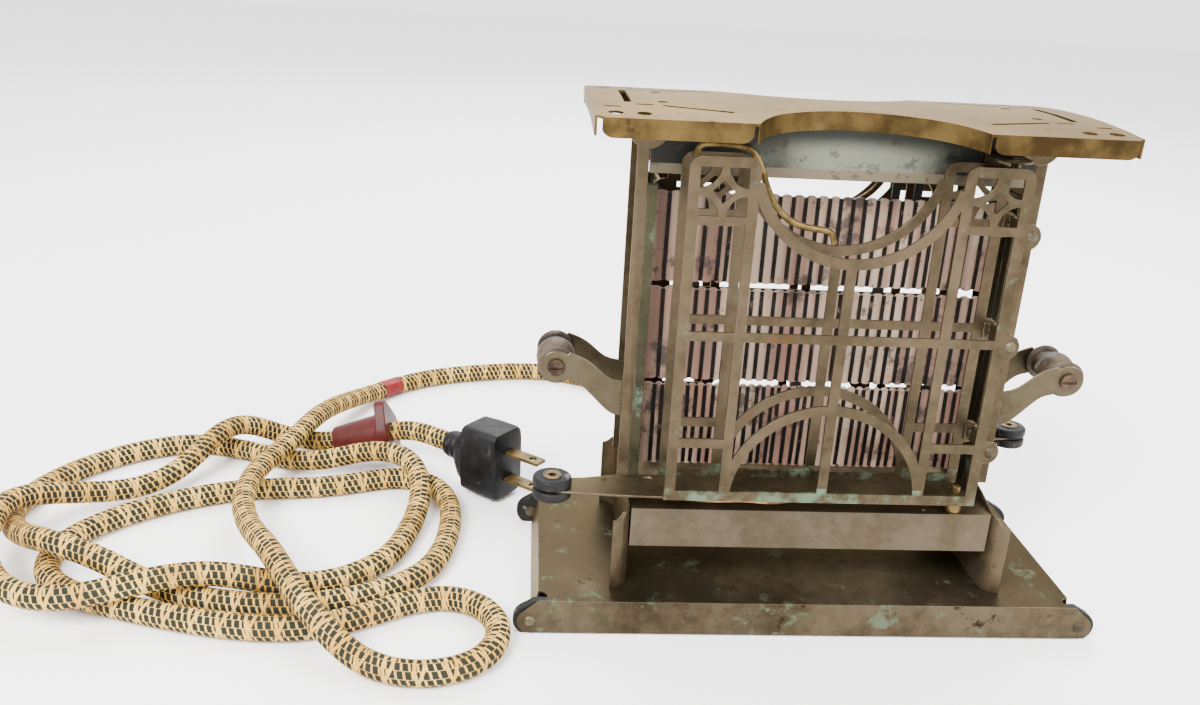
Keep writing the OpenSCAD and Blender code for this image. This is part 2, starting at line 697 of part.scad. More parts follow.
// Route from the gland to the plug; where it crosses itself the upper run is at height high
cord_route = [
    cord_exit, [-20, 72, 37], [-20, 90, 28], [-22, 108, 11], [-26, 130, low], [-38, 160, low],
    [-62, 192, low], [-95, 208, low], [-130, 202, low], [-165, 190, low], [-188, 165, low],
    [-199, 135, 12], [-206, 106, high + 3], [-212, 82, high], [-221, 58, high], [-222, 30, high],
    [-212, 4, high], [-200, -16, high + 5], [-188, -36, high + 2], [-176, -54, high], [-160, -67, low],
    [-140, -74.5, low], [-120, -69, low], [-111, -53, low], [-115, -36, low], [-129.5, -26, low],
    [-147, -30, low], [-163, -42, low],
    [-186, -50, low], [-215, -46, low], [-242, -38, low], [-266, -30, low], [-284, -16, low],
    [-286, 8, low], [-272, 28, low], [-250, 45, low], [-225, 55, low], [-203, 56, low],
    [-184, 60, low], [-164, 70, low], [-145, 64, low], [-136, 44, low], [-135, 22, low],
    [-137, 4, low], [-142, -12, low], [-158, -26, low], [-182, -35, low], [-212, -34, low],
    [-240, -24, low], [-262, -17, high], [-284, -10, high + 2], [-302, 6, 9], [-316, 32, low],
    [-310, 60, low], [-291, 86, low], [-262, 102, low], [-236, 94, low], [-213, 82, low],
    [-194, 77, 8], [-175, 78, high], [-157, 70, high + 1], [-149, 52, 11], [-150, 34, low],
    [-153, 16, low], [-157, 0, low], [-169, -15, low], [-190, -24, 5], [-216, -27, high + 1], [-240, -36, high + 1],
    [-264, -46, 12], [-290, -38, 12], [-306, -10, high], [-310, 16, high + 6], [-294, 36, 11],
    [-270, 50, low], [-254, 66, 9], [-247, 84, high + 2], [-238, 99, high + 3], [-223, 107, 7],
    [-208, 104, low], [-194, 99, 7.6], [-180, 97.5, 11.5], [-167.5, 96.2, 14.9], [-157, 93.5, 16.8],
    [-148.5, 87.4, 17], [-139, 80, 17]];

module cord_gland() color(black) translate([cord_exit[0], 0, cord_exit[2]]) rotate([-90, 0, 0]) {
    back = deck_w / 2;
    translate([0, 0, back - sheet - 2]) cylinder(h = 2, r = 7);
    translate([0, 0, back - sheet]) cylinder(h = sheet, r = 5);
    translate([0, 0, back]) cylinder(h = cord_exit[1] - back, r1 = 7, r2 = 5.4);
}

module cord() color([0.75, 0.65, 0.40]) tube(spline(cord_route, 160), cord_d / 2, 10, [0, 0, 1]);

grip_at = [-180, 97.5, 11.5];

// Bakelite finger grip on the cord near the plug: a tapered body with a tall flat flange
module cord_grip() color([0.42, 0.13, 0.13]) translate(grip_at) rotate([0, -15, -6]) {
    translate([-15, 0, 0]) rotate([0, 90, 0]) cylinder(h = 24.5, r1 = 6.6, r2 = 9.6, $fn = 48);
    translate([8, 0, 0]) rotate([90, 0, 90]) linear_extrude(5) hull() {
        circle(10.5, $fn = 48);
        translate([0, 12.5]) circle(3.5, $fn = 24);
        translate([0, -10.8]) circle(3, $fn = 24);
    }
}

tape_at = 9.45;

module cord_tape() color([0.7, 0.15, 0.12])
    tube([for (k = [0:4]) spline_at(cord_route, tape_at + k * 0.1)], cord_d / 2 + 0.25, 12, [0, 0, 1]);

plug_yaw = -38;

module plug_frame() translate(cord_route[len(cord_route) - 1]) rotate([0, 0, plug_yaw]) children();

module plug_body() color(black) plug_frame() {
    rotate([0, 90, 0]) cylinder(h = 10, r = 6.5);
    hull() {
        translate([7, -8, -11]) cube([1, 16, 22]);
        translate([14, -10, -16]) cube([20, 20, 32]);
    }
}

module plug_blades() color(brass) plug_frame() for (z = [-6.35, 6.35]) difference() {
    span([34, -3.15, z - 0.75], [52, 3.15, z + 0.75]);
    translate([47.5, 0, z - 1]) cylinder(h = 2, r = 1.6);
}

base_tray();
base_feet();
foot_eyelets();
deck_cover();
terminal_block();
terminal_screws();
detent_springs();
side_plate_left();
side_plate_right();
element_frame_left();
element_frame_right();
mica_card_top();
mica_card_middle();
mica_card_bottom();
ribbon_top();
ribbon_middle();
ribbon_bottom();
card_hangers();
top_bridge();
top_clips();
top_plate();
lower_pivots();
upper_pivots();
handle_bracket_left();
handle_bracket_right();
grip_left();
grip_right();
handle_screw_left();
handle_screw_right();
front_outer_panel();
front_inner_panel();
front_tray();
front_straps();
front_strap_rivets();
front_hinge_plate();
front_bread_wire();
front_knob();
front_knob_eyelet();
rear_outer_panel();
rear_inner_panel();
rear_tray();
rear_straps();
rear_strap_rivets();
rear_hinge_plate();
rear_bread_wire();
rear_knob();
rear_knob_eyelet();
cord_gland();
cord();
cord_grip();
cord_tape();
plug_body();
plug_blades();
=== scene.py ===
"""An antique swing-basket toaster, dressed over its CAD frame: worn nickel sheet, mica heater
cards wound with ribbon, spool grips and a braided cord in loose loops."""
import math
import random

import bmesh
import bpy
from mathutils import Matrix, Vector


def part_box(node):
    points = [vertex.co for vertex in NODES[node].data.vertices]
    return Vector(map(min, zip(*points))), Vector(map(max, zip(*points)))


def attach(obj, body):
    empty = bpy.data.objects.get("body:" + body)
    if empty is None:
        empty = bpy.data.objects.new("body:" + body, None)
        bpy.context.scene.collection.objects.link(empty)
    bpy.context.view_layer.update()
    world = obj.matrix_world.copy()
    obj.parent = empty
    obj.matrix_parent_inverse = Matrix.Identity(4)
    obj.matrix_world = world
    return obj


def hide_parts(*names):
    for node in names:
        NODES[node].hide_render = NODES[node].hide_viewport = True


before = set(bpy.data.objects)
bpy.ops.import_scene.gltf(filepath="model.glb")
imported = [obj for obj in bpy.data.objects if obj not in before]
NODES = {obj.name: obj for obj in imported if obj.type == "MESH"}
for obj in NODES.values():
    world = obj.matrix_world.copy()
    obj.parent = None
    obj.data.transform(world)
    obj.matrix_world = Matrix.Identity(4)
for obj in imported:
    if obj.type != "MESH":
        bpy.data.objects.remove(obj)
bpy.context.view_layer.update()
MM = 0.001
random.seed(7)


# Camera ---------------------------------------------------------------------------------

# Where the camera stands, and its right, down and forward directions in the row frame
CAMERA_AT = Vector((-0.10626, -0.36988, 0.22931))
CAMERA_RIGHT = Vector((0.99714, -0.05504, 0.05180))
CAMERA_DOWN = Vector((0.02948, -0.34784, -0.93709))
CAMERA_AHEAD = Vector((0.06960, 0.93594, -0.34523))
LENS_MM = 32.09
SENSOR_MM = 36


def add_camera():
    data = bpy.data.cameras.new("camera")
    data.lens = LENS_MM
    data.sensor_width = SENSOR_MM
    data.clip_start = 0.01
    camera = bpy.data.objects.new("camera", data)
    turn = Matrix((CAMERA_RIGHT, -CAMERA_DOWN, -CAMERA_AHEAD)).transposed()
    camera.matrix_world = Matrix.Translation(CAMERA_AT) @ turn.to_4x4()
    bpy.context.scene.collection.objects.link(camera)
    bpy.context.scene.camera = camera


add_camera()


# Materials ------------------------------------------------------------------------------


class Field:
    """A number that varies over the surface: a node socket with arithmetic."""

    def __init__(self, tree, socket):
        self.tree = tree
        self.socket = socket

    def math(self, kind, *others):
        node = self.tree.nodes.new("ShaderNodeMath")
        node.operation = kind
        for slot, value in zip(node.inputs, (self,) + others):
            plug(self.tree, slot, value)
        return Field(self.tree, node.outputs[0])

    def __add__(self, other):
        return self.math("ADD", other)

    def __sub__(self, other):
        return self.math("SUBTRACT", other)

    def __mul__(self, other):
        return self.math("MULTIPLY", other)

    def fraction(self):
        return self.math("FRACT")

    def floor(self):
        return self.math("FLOOR")

    def size(self):
        return self.math("ABSOLUTE")

    def sine(self):
        return self.math("SINE")

    def over(self, limit):
        return self.math("GREATER_THAN", limit)

    def under(self, limit):
        return self.math("LESS_THAN", limit)

    def either(self, other):
        return self.math("MAXIMUM", other)

    def both(self, other):
        return self.math("MULTIPLY", other)

    def ramp(self, low, high):
        """0 below low, 1 above high and smooth between them."""
        node = self.tree.nodes.new("ShaderNodeMapRange")
        node.interpolation_type = "SMOOTHSTEP"
        plug(self.tree, node.inputs[0], self)
        node.inputs[1].default_value = low
        node.inputs[2].default_value = high
        return Field(self.tree, node.outputs[0])


def plug(tree, slot, value):
    if isinstance(value, Field):
        tree.links.new(value.socket, slot)
    elif isinstance(value, tuple):
        slot.default_value = value + (1.0,) * (4 - len(value))
    else:
        slot.default_value = value


# How strongly bare shine shows on every material, and its tint on sheet metal
SHINE = 0.15
WARM_SHINE = (0.80, 0.66, 0.45, 1)


class Surface:
    """A material under construction: one Principled shader and procedural fields."""

    def __init__(self, name, metallic, roughness):
        self.material = bpy.data.materials.new(name)
        self.material.use_nodes = True
        self.tree = self.material.node_tree
        self.shader = self.tree.nodes["Principled BSDF"]
        self.shader.inputs["Metallic"].default_value = metallic
        self.shader.inputs["Roughness"].default_value = roughness
        self.shader.inputs["Specular IOR Level"].default_value = SHINE
        self.where = self.tree.nodes.new("ShaderNodeTexCoord")

    def component(self, coordinate, index):
        split = self.tree.nodes.new("ShaderNodeSeparateXYZ")
        self.tree.links.new(self.where.outputs[coordinate], split.inputs[0])
        return Field(self.tree, split.outputs[index])

    def place(self, axis):
        """X, Y or Z in the piece's own frame, in metres."""
        return self.component("Object", "XYZ".index(axis))

    def along(self, axis):
        """U or V of the piece's map."""
        return self.component("UV", "UV".index(axis))

    def facing(self, axis):
        """How far the surface faces along an axis, without sign."""
        return self.component("Normal", "XYZ".index(axis)).size()

    def noise(self, size_mm, detail=3.0, roughness=0.55, stretch=(1, 1, 1), shift=0.0):
        """Noise from 0 to 1 whose blobs are about size_mm across."""
        scaled = self.tree.nodes.new("ShaderNodeMapping")
        self.tree.links.new(self.where.outputs["Object"], scaled.inputs[0])
        scaled.inputs["Scale"].default_value = stretch
        scaled.inputs["Location"].default_value = (shift, shift * 0.7, -shift)
        node = self.tree.nodes.new("ShaderNodeTexNoise")
        self.tree.links.new(scaled.outputs[0], node.inputs["Vector"])
        node.inputs["Scale"].default_value = 0.5 / (size_mm * MM)
        node.inputs["Detail"].default_value = detail
        node.inputs["Roughness"].default_value = roughness
        return Field(self.tree, node.outputs[0])

    def mix(self, amount, first, second):
        node = self.tree.nodes.new("ShaderNodeMix")
        node.data_type = "RGBA"
        plug(self.tree, node.inputs[0], amount)
        plug(self.tree, node.inputs[6], first)
        plug(self.tree, node.inputs[7], second)
        return Field(self.tree, node.outputs[2])

    def color(self, value):
        plug(self.tree, self.shader.inputs["Base Color"], value)

    def rough(self, value):
        plug(self.tree, self.shader.inputs["Roughness"], value)

    def bump(self, height, depth_mm, strength=1.0):
        node = self.tree.nodes.new("ShaderNodeBump")
        node.inputs["Strength"].default_value = strength
        node.inputs["Distance"].default_value = depth_mm * MM
        plug(self.tree, node.inputs["Height"], height)
        self.tree.links.new(node.outputs[0], self.shader.inputs["Normal"])


def worn_sheet(
    name, light, dark, metallic=0.7, green=0.0, green_low=None, dirt=0.35,
    golden_rims=False, dark_tops=0.0,
):
    """Old nickel-plated sheet. green is how much verdigris grows on it, and below the height
    green_low, in metres, it grows thickest. golden_rims turns the side faces to dull gold, and
    dark_tops is how strongly faces that look up or down are darkened in patches: painted
    shade, partly a dark stain."""
    s = Surface(name, metallic, 0.4)
    s.shader.inputs["Specular Tint"].default_value = WARM_SHINE
    clouds = s.noise(22, 4)
    fine = s.noise(2.2, 5, 0.65)
    tone = s.mix((clouds * 0.65 + fine * 0.35).ramp(0.32, 0.66), dark, light)
    if golden_rims:
        side = s.facing("Z").under(0.6)
        rim = s.mix(s.noise(9, 4).ramp(0.35, 0.65), (0.022, 0.013, 0.004), (0.085, 0.054, 0.018))
        tone = s.mix(side, tone, rim)
    if dark_tops:
        # Level faces darkened in patches: painted shade, partly a dark stain.
        shade_and_stain = s.facing("Z").over(0.7) * s.noise(35, 4, shift=0.2).ramp(0.25, 0.5) * dark_tops
        tone = s.mix(shade_and_stain, tone, (0.015, 0.012, 0.008))
    spots = s.noise(4.5, 5, 0.7, shift=0.31).ramp(0.60, 0.70) * dirt
    tone = s.mix(spots, tone, (0.012, 0.008, 0.004))
    streaks = s.noise(7, 3, 0.6, stretch=(1, 1, 0.25), shift=0.11).ramp(0.55, 0.75) * 0.35
    tone = s.mix(streaks, tone, (0.04, 0.025, 0.011))
    rust = s.noise(12, 4, 0.7, shift=0.77).ramp(0.62, 0.72) * 0.5
    tone = s.mix(rust, tone, (0.075, 0.034, 0.011))
    grown = s.noise(6, 6, 0.72, shift=0.53).ramp(0.66 - 0.16 * green, 0.76 - 0.12 * green) * green
    if green_low is not None:
        deep = s.place("Z").under(green_low) * s.noise(5, 5, 0.7, shift=0.9).ramp(0.46, 0.66)
        grown = grown.either(deep * 0.8)
    tone = s.mix(grown, tone, (0.10, 0.15, 0.10))
    s.color(tone)
    s.rough(fine * 0.22 + clouds * 0.16 + (spots + grown) * 0.35 + 0.2)
    s.bump(fine * 0.5 + spots * 0.6 + grown, 0.12, 0.6)
    return s.material


# Height of the top of the turned lip along the bridge's lower edge
BRIDGE_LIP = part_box("top_bridge")[0].z + 0.0035


def bridge_in_painted_shadow(name):
    """Dark sheet with a wide pale bloom of oxide in the middle of each side. The dark round the
    bloom is mostly painted shadow cast by the top plate, partly the sheet's own black.
    """
    s = Surface(name, 0.25, 0.5)
    clouds = s.noise(9, 5, 0.65)
    # The bloom stays in the middle, so both ends keep the dark tone: painted shadow under the top
    # plate's rim.
    middle = (s.place("X") - 0.006).size().ramp(0.010, 0.046) * -1.0 + 1.0
    bloom = (middle * 0.8 + clouds * 1.3 - 0.55).ramp(0.2, 0.85)
    # Above the lip the bloom fades into the dark tone: painted shadow cast by the top plate.
    bloom = bloom * (s.place("Z").ramp(BRIDGE_LIP + 0.005, BRIDGE_LIP + 0.012) * -0.9 + 1.0)
    low = s.place("Z").under(BRIDGE_LIP)
    tone = s.mix(bloom, (0.010, 0.010, 0.008), (0.105, 0.11, 0.083))
    tone = s.mix(low, tone, (0.10, 0.08, 0.052))
    flecks = s.noise(2.5, 5, 0.7, shift=0.3).ramp(0.56, 0.66) * 0.6
    tone = s.mix(flecks, tone, (0.02, 0.018, 0.014))
    s.color(tone)
    s.rough(clouds * 0.3 + 0.35)
    s.bump(clouds, 0.15, 0.6)
    return s.material


def worn_edge(name, color):
    """Bright bare metal where folds and corners are rubbed."""
    s = Surface(name, 0.85, 0.34)
    s.color(s.mix(s.noise(5, 5, 0.7).ramp(0.4, 0.62), tuple(0.42 * c for c in color), color))
    s.bump(s.noise(1.5, 4), 0.05, 0.5)
    return s.material


def plain(name, color, dark, roughness, metallic=0.0, size_mm=4.0, worn=None):
    """A material of two mottled tones, with worn patches where worn is given."""
    s = Surface(name, metallic, roughness)
    tone = s.mix(s.noise(size_mm, 5, 0.65).ramp(0.35, 0.65), dark, color)
    if worn:
        patches = s.noise(size_mm * 0.8, 6, 0.7, shift=0.4).ramp(0.60, 0.68)
        tone = s.mix(patches, tone, worn)
    s.color(tone)
    s.rough(s.noise(size_mm, 4, shift=0.2) * 0.3 + (roughness - 0.15))
    s.bump(s.noise(size_mm * 0.25, 5, 0.7), 0.08, 0.7)
    return s.material


def mica():
    """Scorched mica: each stretch between two turns has its own tint, and soot lies in patches."""
    s = Surface("mica", 0.0, 0.55)
    stretch = s.noise(4.5, 2, stretch=(1, 1, 0.05)).ramp(0.36, 0.64)
    tone = s.mix(stretch, (0.133, 0.0741, 0.053), (0.281, 0.203, 0.144))
    tone = s.mix(s.noise(11, 4, 0.6, shift=0.3).ramp(0.5, 0.68) * 0.7, tone, (0.187, 0.0897, 0.0624))
    soot = s.noise(8, 5, 0.7, shift=0.7).ramp(0.53, 0.63) * 0.85
    tone = s.mix(soot, tone, (0.0273, 0.0187, 0.0156))
    flecks = s.noise(1.6, 4, 0.7, shift=0.5).ramp(0.64, 0.7)
    tone = s.mix(flecks, tone, (0.0156, 0.0109, 0.00936))
    s.color(tone)
    s.rough(s.noise(5, 4, shift=0.2) * 0.35 + 0.3)
    s.bump(s.noise(1.2, 5, 0.7), 0.08, 0.7)
    return s.material


NICKEL = (0.0752, 0.0552, 0.0336)
NICKEL_DARK = (0.0288, 0.0219, 0.0115)
BRIGHT = (0.15, 0.121, 0.0749)
EDGE = worn_edge("worn_edge", BRIGHT)
GOLD_EDGE = worn_edge("golden_edge", (0.173, 0.121, 0.0461))
SHEETS = {
    # The base's level faces are darkened by dark_tops: painted shade, partly a dark stain.
    "base": worn_sheet(
        "base_sheet", (0.0749, 0.0576, 0.0357), (0.023, 0.0162, 0.00864),
        green=0.55, dirt=0.9, dark_tops=0.8,
    ),
    "panel": worn_sheet(
        "panel_sheet", NICKEL, NICKEL_DARK, green=0.35, green_low=0.0572, dirt=0.3
    ),
    "column": worn_sheet("column_sheet", NICKEL, NICKEL_DARK, green=0.3),
    "deck": worn_sheet(
        "deck_sheet", (0.0864, 0.0691, 0.0472), (0.0461, 0.0357, 0.0219), dirt=0.3
    ),
    "top": worn_sheet(
        "top_sheet", (0.115, 0.0832, 0.0461), (0.0518, 0.0357, 0.0173),
        dirt=0.6, golden_rims=True,
    ),
    # Dark sheet, mostly painted shadow cast by the top plate, with a pale bloom of oxide.
    "bridge": bridge_in_painted_shadow("bridge_sheet"),
    "green": worn_sheet(
        "frame_sheet", (0.0346, 0.0322, 0.0184), (0.0092, 0.00864, 0.00518),
        metallic=0.3, green=0.6, dirt=0.8,
    ),
    "lever": worn_sheet(
        "lever_sheet", (0.0749, 0.0576, 0.0357), (0.0317, 0.0242, 0.0138), dirt=0.55
    ),
    "handle": worn_sheet(
        "handle_sheet", (0.0691, 0.0547, 0.0334), (0.0288, 0.0219, 0.0126), green=0.4, dirt=0.6
    ),
}
BLACK = plain(
    "black_fibre", (0.010, 0.0095, 0.009), (0.004, 0.004, 0.004), 0.55, worn=(0.09, 0.085, 0.075)
)
WOOD = plain(
    "umber_grip", (0.075, 0.052, 0.034), (0.016, 0.012, 0.009), 0.5,
    size_mm=6, worn=(0.15, 0.11, 0.075),
)
MICA = mica()
RIBBON = plain(
    "heating_ribbon", (0.010, 0.008, 0.007), (0.004, 0.004, 0.003), 0.5, 0.6,
    worn=(0.08, 0.055, 0.042),
)
BRASS = plain(
    "old_brass", (0.15, 0.10, 0.035), (0.045, 0.03, 0.01), 0.42, 0.8, worn=(0.22, 0.16, 0.07)
)
DULL = plain(
    "dull_rivet", (0.075, 0.06, 0.036), (0.028, 0.022, 0.013), 0.45, 0.6, worn=(0.13, 0.11, 0.075)
)
COPPER = plain("copper_wire", (0.42, 0.22, 0.10), (0.16, 0.08, 0.04), 0.4, 0.85)
SCREW = plain(
    "dark_screw", (0.08, 0.05, 0.032), (0.022, 0.014, 0.01), 0.5, 0.7, worn=(0.18, 0.14, 0.095)
)
RUBBER = plain(
    "black_rubber", (0.007, 0.0072, 0.0075), (0.003, 0.003, 0.0032), 0.5,
    size_mm=3, worn=(0.022, 0.022, 0.022),
)
MAROON = plain("maroon_resin", (0.075, 0.013, 0.011), (0.04, 0.007, 0.006), 0.36, size_mm=10)
TAPE = plain("red_tape", (0.24, 0.014, 0.010), (0.11, 0.007, 0.006), 0.42, size_mm=5)
CERAMIC = plain("ceramic", (0.66, 0.60, 0.50), (0.45, 0.40, 0.32), 0.6)


# Rows of checks round the cord, and the lengths in mm of one check with its gap and of one
# turn of a tracer
BRAID_ROWS = 10
BRAID_STEP = 2.6
BRAID_TURN = 10.0
# Half sizes as shares of a step, a row and a turn, and how far a tracer swings either way
CHECK_HALF = 0.36
ROW_HALF = 0.47
TRACER_HALF = 0.055
TRACER_SWING = 0.16
FULL_TURN = 6.2832


def braid():
    """Woven cotton: rows of slanted black checks on cream, parted by crossing cream tracers."""
    s = Surface("braid", 0.0, 0.85)
    u = s.along("U")
    v = s.along("V")
    wobble = (s.noise(3, 2) - 0.5) * 0.10
    rows = u * BRAID_ROWS
    row = rows.floor()
    across = rows.fraction() - 0.5
    step = v * (1 / BRAID_STEP) + row * 0.5 - across * 0.25 + wobble
    check = (step.fraction() - 0.5).size().under(CHECK_HALF)
    check = check.both(across.size().under(ROW_HALF))
    swing = ((u - 0.25) * FULL_TURN).sine() * TRACER_SWING
    left = (v * (1 / BRAID_TURN) + swing + wobble * 0.4).fraction() - 0.5
    right = (v * (1 / BRAID_TURN) - swing + wobble * 0.4).fraction() - 0.5
    tracer = left.size().under(TRACER_HALF).either(right.size().under(TRACER_HALF))
    black = check.both(tracer.under(0.5))
    cream = s.mix(s.noise(9, 4).ramp(0.3, 0.7), (0.42, 0.22, 0.035), (0.62, 0.39, 0.09))
    cream = s.mix(s.noise(30, 3, shift=0.6).ramp(0.60, 0.72) * 0.6, cream, (0.55, 0.22, 0.05))
    ink = s.mix(s.noise(6, 3), (0.006, 0.008, 0.006), (0.022, 0.024, 0.014))
    s.color(s.mix(black, cream, ink))
    strand = (step * FULL_TURN).sine() * 0.35 + (across.size() * -1.0) + tracer * 0.5
    s.bump(strand, 0.35, 0.8)
    return s.material


# Cord -----------------------------------------------------------------------------------

# Heights of the cord's middle where it lies on the floor and where it crosses over itself
CORD_D = 0.009
LOW = CORD_D / 2 + 0.0001
HIGH = LOW + CORD_D + 0.0006
CORD_ROUTE = [
    (-0.02, 0.055, 0.037), (-0.02, 0.072, 0.037), (-0.02, 0.09, 0.028), (-0.022, 0.108, 0.011),
    (-0.026, 0.13, LOW), (-0.038, 0.16, LOW), (-0.062, 0.192, LOW), (-0.095, 0.208, LOW),
    (-0.13, 0.202, LOW), (-0.165, 0.19, LOW), (-0.188, 0.165, LOW), (-0.199, 0.135, 0.012),
    (-0.206, 0.106, HIGH + 0.003), (-0.212, 0.082, HIGH), (-0.221, 0.058, HIGH), (-0.222, 0.03, HIGH),
    (-0.212, 0.004, HIGH), (-0.2, -0.016, HIGH + 0.005), (-0.188, -0.036, HIGH + 0.002),
    (-0.176, -0.054, HIGH), (-0.16, -0.067, LOW), (-0.14, -0.0745, LOW), (-0.12, -0.069, LOW),
    (-0.111, -0.053, LOW), (-0.115, -0.036, LOW), (-0.1295, -0.026, LOW), (-0.147, -0.03, LOW),
    (-0.163, -0.042, LOW), (-0.186, -0.05, LOW), (-0.215, -0.046, LOW), (-0.242, -0.038, LOW),
    (-0.266, -0.03, LOW), (-0.284, -0.016, LOW), (-0.286, 0.008, LOW), (-0.272, 0.028, LOW),
    (-0.25, 0.045, LOW), (-0.225, 0.055, LOW), (-0.203, 0.056, LOW), (-0.184, 0.06, LOW),
    (-0.164, 0.07, LOW), (-0.145, 0.064, LOW), (-0.136, 0.044, LOW), (-0.135, 0.022, LOW),
    (-0.137, 0.004, LOW), (-0.142, -0.012, LOW), (-0.158, -0.026, LOW), (-0.182, -0.035, LOW),
    (-0.212, -0.034, LOW), (-0.24, -0.024, LOW), (-0.262, -0.017, HIGH), (-0.284, -0.01, HIGH + 0.002),
    (-0.302, 0.006, 0.009), (-0.316, 0.032, LOW), (-0.31, 0.06, LOW), (-0.291, 0.086, LOW),
    (-0.262, 0.102, LOW), (-0.236, 0.094, LOW), (-0.213, 0.082, LOW), (-0.194, 0.077, 0.008),
    (-0.175, 0.078, HIGH), (-0.157, 0.07, HIGH + 0.001), (-0.149, 0.052, 0.011), (-0.15, 0.034, LOW),
    (-0.153, 0.016, LOW), (-0.157, 0, LOW), (-0.169, -0.015, LOW), (-0.19, -0.024, 0.005),
    (-0.216, -0.027, HIGH + 0.001), (-0.24, -0.036, HIGH + 0.001), (-0.264, -0.046, 0.012),
    (-0.29, -0.038, 0.012), (-0.306, -0.01, HIGH), (-0.31, 0.016, HIGH + 0.006),
    (-0.294, 0.036, 0.011), (-0.27, 0.05, LOW), (-0.254, 0.066, 0.009), (-0.247, 0.084, HIGH + 0.002),
    (-0.238, 0.099, HIGH + 0.003), (-0.223, 0.107, 0.007), (-0.208, 0.104, LOW),
    (-0.194, 0.099, 0.0076), (-0.18, 0.0975, 0.0115), (-0.1675, 0.0962, 0.0149),
    (-0.157, 0.0935, 0.0168), (-0.1485, 0.0874, 0.017), (-0.139, 0.08, 0.017),
]


def spline_at(points, s):
    """A cubic B-spline near the points that starts and ends on them."""
    last = len(points) - 1
    i = min(int(s), last - 1)
    t = s - i
    here, there = Vector(points[i]), Vector(points[i + 1])
    before = Vector(points[i - 1]) if i > 0 else 2 * here - there
    after = Vector(points[i + 2]) if i < last - 1 else 2 * there - here
    return (
        (1 - t) ** 3 * before
        + (3 * t**3 - 6 * t * t + 4) * here
        + (-3 * t**3 + 3 * t * t + 3 * t + 1) * there
        + t**3 * after
    ) / 6


def spline(points, steps_each):
    """Points along the spline, steps_each for every stretch between two of its own points."""
    count = (len(points) - 1) * steps_each
    return [spline_at(points, k / steps_each) for k in range(count + 1)]


def length_of(path):
    return sum((b - a).length for a, b in zip(path, path[1:]))


def new_piece(name, mesh, body, *materials):
    piece = bpy.data.objects.new(name, mesh)
    bpy.context.scene.collection.objects.link(piece)
    for material in materials:
        mesh.materials.append(material)
    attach(piece, body)
    return piece


def smooth(mesh, angle=35):
    for face in mesh.polygons:
        face.use_smooth = True
    mesh.set_sharp_from_angle(angle=math.radians(angle))


def sweep(path, radius, sides):
    """A round tube along a path, with closed ends. Its map runs 0 to 1 round it, and along it
    in millimetres."""
    bm = bmesh.new()
    uv = bm.loops.layers.uv.new("map")
    rings = []
    lengths = [0.0]
    side = Vector((0, 0, 1))
    for i, point in enumerate(path):
        ahead = (path[min(i + 1, len(path) - 1)] - path[max(i - 1, 0)]).normalized()
        side = (side - ahead * side.dot(ahead)).normalized()
        up = ahead.cross(side)
        if i:
            lengths.append(lengths[-1] + (point - path[i - 1]).length)
        turn = [2 * math.pi * k / sides for k in range(sides)]
        spokes = [math.cos(a) * side + math.sin(a) * up for a in turn]
        rings.append([bm.verts.new(point + radius * spoke) for spoke in spokes])
    for i in range(len(rings) - 1):
        for k in range(sides):
            corners = [(i, k), (i, k + 1), (i + 1, k + 1), (i + 1, k)]
            face = bm.faces.new([rings[a][b % sides] for a, b in corners])
            for loop, (a, b) in zip(face.loops, corners):
                loop[uv].uv = (b / sides, lengths[a] / MM)
    bm.faces.new(rings[0][::-1])
    bm.faces.new(rings[-1])
    bmesh.ops.recalc_face_normals(bm, faces=bm.faces)
    mesh = bpy.data.meshes.new("tube")
    bm.to_mesh(mesh)
    bm.free()
    smooth(mesh, 50)
    return mesh


CORD_SIDES = 28
CORD_STEPS = 16
cord_path = spline(CORD_ROUTE, CORD_STEPS)
cord_piece = new_piece("braided_cord", sweep(cord_path, CORD_D / 2, CORD_SIDES), "frame", braid())
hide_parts("cord")


# Sheet metal, copied from the frame with rubbed edges --------------------------------------


def cad_copy(node):
    """The CAD node's mesh as one clean surface."""
    bm = bmesh.new()
    bm.from_mesh(NODES[node].data)
    bmesh.ops.remove_doubles(bm, verts=bm.verts, dist=2e-6)
    bmesh.ops.dissolve_limit(
        bm, angle_limit=math.radians(1.5), verts=bm.verts, edges=bm.edges, use_dissolve_boundaries=False
    )
    mesh = bpy.data.meshes.new(node + "_skin")
    bm.to_mesh(mesh)
    bm.free()
    return mesh


def dressed(node, body, material, edge, width_mm, segments=2, limit=40):
    """A copy of the node with edges sharper than limit degrees rounded, in a rubbed metal where
    edge is given."""
    piece = new_piece(node + "_dressed", cad_copy(node), body, material, edge or material)
    bevel = piece.modifiers.new("rounded", "BEVEL")
    bevel.width = width_mm * MM
    bevel.segments = segments
    bevel.limit_method = "ANGLE"
    bevel.angle_limit = math.radians(limit)
    bevel.use_clamp_overlap = True
    bevel.material = 1 if edge else -1
    smooth(piece.data, limit)
    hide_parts(node)
    return piece


def painted(node, material):
    """The CAD node itself, shown in this material."""
    mesh = NODES[node].data
    mesh.materials.clear()
    mesh.materials.append(material)


# Node, slot, sheet and width in mm of the rounded edges
STATIC_SHEETS = [
    ("base_tray", "aged_nickel", "base", 0.3),
    ("deck_cover", "aged_nickel", "deck", 0.3),
    ("side_plate_left", "aged_nickel", "column", 0.2),
    ("side_plate_right", "aged_nickel", "column", 0.2),
    ("element_frame_left", "green_steel", "green", 0.12),
    ("element_frame_right", "green_steel", "green", 0.12),
    ("top_bridge", "grey_steel", "bridge", 0.25),
    ("top_clips", "aged_nickel", "column", 0.15),
    ("upper_pivots", "aged_nickel", "column", 0.15),
    ("handle_bracket_left", "aged_nickel", "handle", 0.2),
    ("handle_bracket_right", "aged_nickel", "handle", 0.2),
]
for node, slot, sheet, width in STATIC_SHEETS:
    dressed(node, "frame", SHEETS[sheet], EDGE, width)
dressed("top_plate", "frame", SHEETS["top"], GOLD_EDGE, 0.2)

